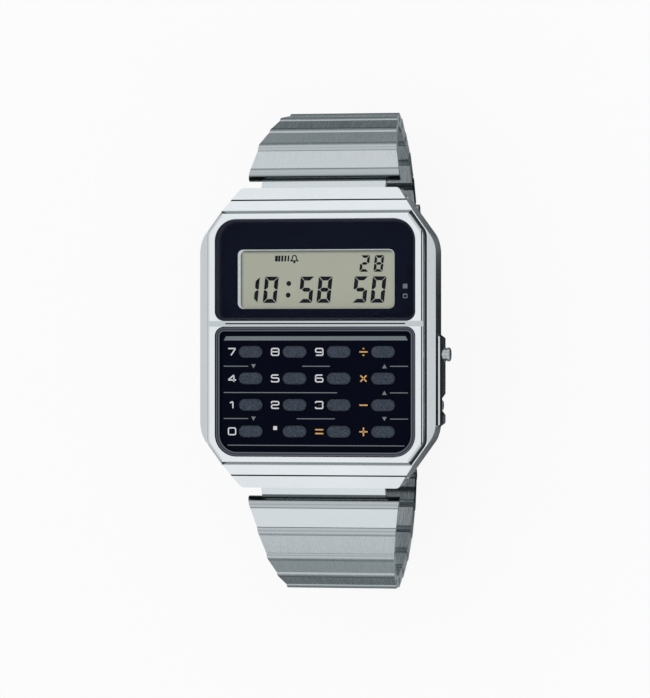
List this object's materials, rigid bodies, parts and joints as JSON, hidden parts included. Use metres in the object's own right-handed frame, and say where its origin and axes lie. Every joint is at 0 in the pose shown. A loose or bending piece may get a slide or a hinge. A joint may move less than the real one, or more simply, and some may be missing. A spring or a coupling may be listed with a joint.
{
  "type": "calculator watch",
  "caption": "Wristwatch with a display over a calculator keypad, side pushers, and a folded-link metal bracelet with a folding clasp.",
  "frame": {"origin": "centre of the case back's outer face", "axes": "+X towards three o'clock, +Y towards twelve o'clock, +Z out of the dial"},
  "size_m": [0.0362, 0.0706, 0.0462],
  "materials": {
    "chromed_case": "polished",
    "window_glass": "clear, gloss",
    "black_print": "satin black",
    "display_glass": "grey-green, matt",
    "black_plate": "gloss",
    "key_rubber": "matt",
    "frame_plastic": "moulded",
    "board_laminate": "varnished",
    "cell_steel": "bright",
    "buzzer_brass": "bright",
    "brushed_back": "brushed",
    "grey_keys": "metallic grey, satin",
    "pusher_steel": "polished",
    "strap_steel": "brushed along the strap, polished lips"
  },
  "bodies": {
    "case": {"case_body": "chromed_case", "front_bezel": "chromed_case", "window_lens": "window_glass", "display_mask": "black_print", "lcd_panel": "display_glass", "lcd_connector": "key_rubber", "keypad_plate": "black_plate", "key_mat": "key_rubber", "module_frame": "frame_plastic", "circuit_board": "board_laminate", "coin_cell": "cell_steel", "cell_strap": "cell_steel", "buzzer_disc": "buzzer_brass", "case_back": "brushed_back", "back_gasket": "key_rubber", "back_screws": "cell_steel"},
    "key_7": {"key_7": "grey_keys"},
    "key_8": {"key_8": "grey_keys"},
    "key_9": {"key_9": "grey_keys"},
    "key_divide": {"key_divide": "grey_keys"},
    "key_4": {"key_4": "grey_keys"},
    "key_5": {"key_5": "grey_keys"},
    "key_6": {"key_6": "grey_keys"},
    "key_multiply": {"key_multiply": "grey_keys"},
    "key_1": {"key_1": "grey_keys"},
    "key_2": {"key_2": "grey_keys"},
    "key_3": {"key_3": "grey_keys"},
    "key_minus": {"key_minus": "grey_keys"},
    "key_0": {"key_0": "grey_keys"},
    "key_point": {"key_point": "grey_keys"},
    "key_equals": {"key_equals": "grey_keys"},
    "key_plus": {"key_plus": "grey_keys"},
    "mode_pusher": {"mode_pusher": "pusher_steel"},
    "adjust_pusher": {"adjust_pusher": "pusher_steel"},
    "upper_link_1": {"upper_link_1": "strap_steel"},
    "upper_link_2": {"upper_link_2": "strap_steel"},
    "upper_link_3": {"upper_link_3": "strap_steel"},
    "upper_link_4": {"upper_link_4": "strap_steel"},
    "upper_link_5": {"upper_link_5": "strap_steel"},
    "upper_link_6": {"upper_link_6": "strap_steel"},
    "upper_link_7": {"upper_link_7": "strap_steel"},
    "upper_link_8": {"upper_link_8": "strap_steel"},
    "upper_link_9": {"upper_link_9": "strap_steel"},
    "lower_link_1": {"lower_link_1": "strap_steel"},
    "lower_link_2": {"lower_link_2": "strap_steel"},
    "lower_link_3": {"lower_link_3": "strap_steel"},
    "lower_link_4": {"lower_link_4": "strap_steel"},
    "lower_link_5": {"lower_link_5": "strap_steel"},
    "lower_link_6": {"lower_link_6": "strap_steel"},
    "lower_link_7": {"lower_link_7": "strap_steel"},
    "lower_link_8": {"lower_link_8": "strap_steel"},
    "lower_link_9": {"lower_link_9": "strap_steel"},
    "lower_link_10": {"lower_link_10": "strap_steel"},
    "clasp_base": {"clasp_base": "strap_steel", "strap_tail": "strap_steel"},
    "lock_lever": {"lock_lever": "strap_steel"},
    "clasp_blade": {"clasp_blade": "strap_steel"},
    "clasp_cover": {"clasp_cover": "strap_steel"}
  },
  "joints": [
    {"name": "key_7_press", "type": "slide", "parent": "case", "child": "key_7", "axis": [0, 0, -1], "range_m": [0, 0.0003], "stiffness_N_per_m": 3000},
    {"name": "key_8_press", "type": "slide", "parent": "case", "child": "key_8", "axis": [0, 0, -1], "range_m": [0, 0.0003], "stiffness_N_per_m": 3000},
    {"name": "key_9_press", "type": "slide", "parent": "case", "child": "key_9", "axis": [0, 0, -1], "range_m": [0, 0.0003], "stiffness_N_per_m": 3000},
    {"name": "key_divide_press", "type": "slide", "parent": "case", "child": "key_divide", "axis": [0, 0, -1], "range_m": [0, 0.0003], "stiffness_N_per_m": 3000},
    {"name": "key_4_press", "type": "slide", "parent": "case", "child": "key_4", "axis": [0, 0, -1], "range_m": [0, 0.0003], "stiffness_N_per_m": 3000},
    {"name": "key_5_press", "type": "slide", "parent": "case", "child": "key_5", "axis": [0, 0, -1], "range_m": [0, 0.0003], "stiffness_N_per_m": 3000},
    {"name": "key_6_press", "type": "slide", "parent": "case", "child": "key_6", "axis": [0, 0, -1], "range_m": [0, 0.0003], "stiffness_N_per_m": 3000},
    {"name": "key_multiply_press", "type": "slide", "parent": "case", "child": "key_multiply", "axis": [0, 0, -1], "range_m": [0, 0.0003], "stiffness_N_per_m": 3000},
    {"name": "key_1_press", "type": "slide", "parent": "case", "child": "key_1", "axis": [0, 0, -1], "range_m": [0, 0.0003], "stiffness_N_per_m": 3000},
    {"name": "key_2_press", "type": "slide", "parent": "case", "child": "key_2", "axis": [0, 0, -1], "range_m": [0, 0.0003], "stiffness_N_per_m": 3000},
    {"name": "key_3_press", "type": "slide", "parent": "case", "child": "key_3", "axis": [0, 0, -1], "range_m": [0, 0.0003], "stiffness_N_per_m": 3000},
    {"name": "key_minus_press", "type": "slide", "parent": "case", "child": "key_minus", "axis": [0, 0, -1], "range_m": [0, 0.0003], "stiffness_N_per_m": 3000},
    {"name": "key_0_press", "type": "slide", "parent": "case", "child": "key_0", "axis": [0, 0, -1], "range_m": [0, 0.0003], "stiffness_N_per_m": 3000},
    {"name": "key_point_press", "type": "slide", "parent": "case", "child": "key_point", "axis": [0, 0, -1], "range_m": [0, 0.0003], "stiffness_N_per_m": 3000},
    {"name": "key_equals_press", "type": "slide", "parent": "case", "child": "key_equals", "axis": [0, 0, -1], "range_m": [0, 0.0003], "stiffness_N_per_m": 3000},
    {"name": "key_plus_press", "type": "slide", "parent": "case", "child": "key_plus", "axis": [0, 0, -1], "range_m": [0, 0.0003], "stiffness_N_per_m": 3000},
    {"name": "mode_press", "type": "slide", "parent": "case", "child": "mode_pusher", "axis": [-1, 0, 0], "range_m": [0, 0.0005], "stiffness_N_per_m": 3000},
    {"name": "adjust_press", "type": "slide", "parent": "case", "child": "adjust_pusher", "axis": [-1, 0, 0], "range_m": [0, 0.00035], "stiffness_N_per_m": 3000},
    {"name": "upper_strap", "type": "hinge", "parent": "case", "child": "upper_link_1", "pos_m": [0, 0.0203, 0.0026], "axis": [1, 0, 0], "range_deg": [0, 34]},
    {"name": "upper_fold_2", "type": "hinge", "parent": "upper_link_1", "child": "upper_link_2", "pos_m": [0, 0.02743, -0.00221], "axis": [1, 0, 0], "range_deg": [0, 27]},
    {"name": "upper_fold_3", "type": "hinge", "parent": "upper_link_2", "child": "upper_link_3", "pos_m": [0, 0.02976, -0.00641], "axis": [1, 0, 0], "range_deg": [0, 6]},
    {"name": "upper_fold_4", "type": "hinge", "parent": "upper_link_3", "child": "upper_link_4", "pos_m": [0, 0.03163, -0.01083], "axis": [1, 0, 0], "range_deg": [0, 13]},
    {"name": "upper_fold_5", "type": "hinge", "parent": "upper_link_4", "child": "upper_link_5", "pos_m": [0, 0.03247, -0.01555], "axis": [1, 0, 0], "range_deg": [0, 17]},
    {"name": "upper_fold_6", "type": "hinge", "parent": "upper_link_5", "child": "upper_link_6", "pos_m": [0, 0.03188, -0.02032], "axis": [1, 0, 0], "range_deg": [0, 15]},
    {"name": "upper_fold_7", "type": "hinge", "parent": "upper_link_6", "child": "upper_link_7", "pos_m": [0, 0.03008, -0.02477], "axis": [1, 0, 0], "range_deg": [0, 14]},
    {"name": "upper_fold_8", "type": "hinge", "parent": "upper_link_7", "child": "upper_link_8", "pos_m": [0, 0.02726, -0.02865], "axis": [1, 0, 0], "range_deg": [0, 14]},
    {"name": "upper_fold_9", "type": "hinge", "parent": "upper_link_8", "child": "upper_link_9", "pos_m": [0, 0.02358, -0.03174], "axis": [1, 0, 0], "range_deg": [0, 7.52]},
    {"name": "lower_strap", "type": "hinge", "parent": "case", "child": "lower_link_1", "pos_m": [0, -0.0203, 0.0026], "axis": [-1, 0, 0], "range_deg": [0, 29]},
    {"name": "lower_fold_2", "type": "hinge", "parent": "lower_link_1", "child": "lower_link_2", "pos_m": [0, -0.02782, -0.00157], "axis": [-1, 0, 0], "range_deg": [0, 10]},
    {"name": "lower_fold_3", "type": "hinge", "parent": "lower_link_2", "child": "lower_link_3", "pos_m": [0, -0.03155, -0.00459], "axis": [-1, 0, 0], "range_deg": [0, 18]},
    {"name": "lower_fold_4", "type": "hinge", "parent": "lower_link_3", "child": "lower_link_4", "pos_m": [0, -0.03417, -0.00862], "axis": [-1, 0, 0], "range_deg": [0, 10]},
    {"name": "lower_fold_5", "type": "hinge", "parent": "lower_link_4", "child": "lower_link_5", "pos_m": [0, -0.03604, -0.01303], "axis": [-1, 0, 0], "range_deg": [0, 22]},
    {"name": "lower_fold_6", "type": "hinge", "parent": "lower_link_5", "child": "lower_link_6", "pos_m": [0, -0.03613, -0.01783], "axis": [-1, 0, 0], "range_deg": [0, 15]},
    {"name": "lower_fold_7", "type": "hinge", "parent": "lower_link_6", "child": "lower_link_7", "pos_m": [0, -0.03496, -0.02249], "axis": [-1, 0, 0], "range_deg": [0, 14]},
    {"name": "lower_fold_8", "type": "hinge", "parent": "lower_link_7", "child": "lower_link_8", "pos_m": [0, -0.03271, -0.02673], "axis": [-1, 0, 0], "range_deg": [0, 14]},
    {"name": "lower_fold_9", "type": "hinge", "parent": "lower_link_8", "child": "lower_link_9", "pos_m": [0, -0.0295, -0.0303], "axis": [-1, 0, 0], "range_deg": [0, 15]},
    {"name": "lower_fold_10", "type": "hinge", "parent": "lower_link_9", "child": "lower_link_10", "pos_m": [0, -0.02547, -0.03291], "axis": [-1, 0, 0], "range_deg": [0, 16]},
    {"name": "lower_fold_11", "type": "hinge", "parent": "lower_link_10", "child": "clasp_base", "pos_m": [0, -0.02088, -0.03431], "axis": [-1, 0, 0], "range_deg": [0, 17]},
    {"name": "lever_lift", "type": "hinge", "parent": "clasp_base", "child": "lock_lever", "pos_m": [0, 0.00812, -0.03466], "axis": [-1, 0, 0], "range_deg": [0, 70]},
    {"name": "clasp_open", "type": "hinge", "parent": "clasp_base", "child": "clasp_blade", "pos_m": [0, 0.01414, -0.03531], "axis": [1, 0, 0], "range_deg": [0, 165]},
    {"name": "cover_turn", "type": "hinge", "parent": "clasp_blade", "child": "clasp_cover", "pos_m": [0, -0.01288, -0.03621], "axis": [1, 0, 0], "range_deg": [-165, 0]}
  ],
  "couplings": [
    {"joint": "upper_fold_2", "follows": "upper_strap", "ratio": 0.79412},
    {"joint": "upper_fold_3", "follows": "upper_strap", "ratio": 0.17647},
    {"joint": "upper_fold_4", "follows": "upper_strap", "ratio": 0.38235},
    {"joint": "upper_fold_5", "follows": "upper_strap", "ratio": 0.5},
    {"joint": "upper_fold_6", "follows": "upper_strap", "ratio": 0.44118},
    {"joint": "upper_fold_7", "follows": "upper_strap", "ratio": 0.41176},
    {"joint": "upper_fold_8", "follows": "upper_strap", "ratio": 0.41176},
    {"joint": "upper_fold_9", "follows": "upper_strap", "ratio": 0.22118},
    {"joint": "lower_fold_2", "follows": "lower_strap", "ratio": 0.34483},
    {"joint": "lower_fold_3", "follows": "lower_strap", "ratio": 0.62069},
    {"joint": "lower_fold_4", "follows": "lower_strap", "ratio": 0.34483},
    {"joint": "lower_fold_5", "follows": "lower_strap", "ratio": 0.75862},
    {"joint": "lower_fold_6", "follows": "lower_strap", "ratio": 0.51724},
    {"joint": "lower_fold_7", "follows": "lower_strap", "ratio": 0.48276},
    {"joint": "lower_fold_8", "follows": "lower_strap", "ratio": 0.48276},
    {"joint": "lower_fold_9", "follows": "lower_strap", "ratio": 0.51724},
    {"joint": "lower_fold_10", "follows": "lower_strap", "ratio": 0.55172},
    {"joint": "lower_fold_11", "follows": "lower_strap", "ratio": 0.58621},
    {"joint": "cover_turn", "follows": "clasp_open", "ratio": -1}
  ]
}
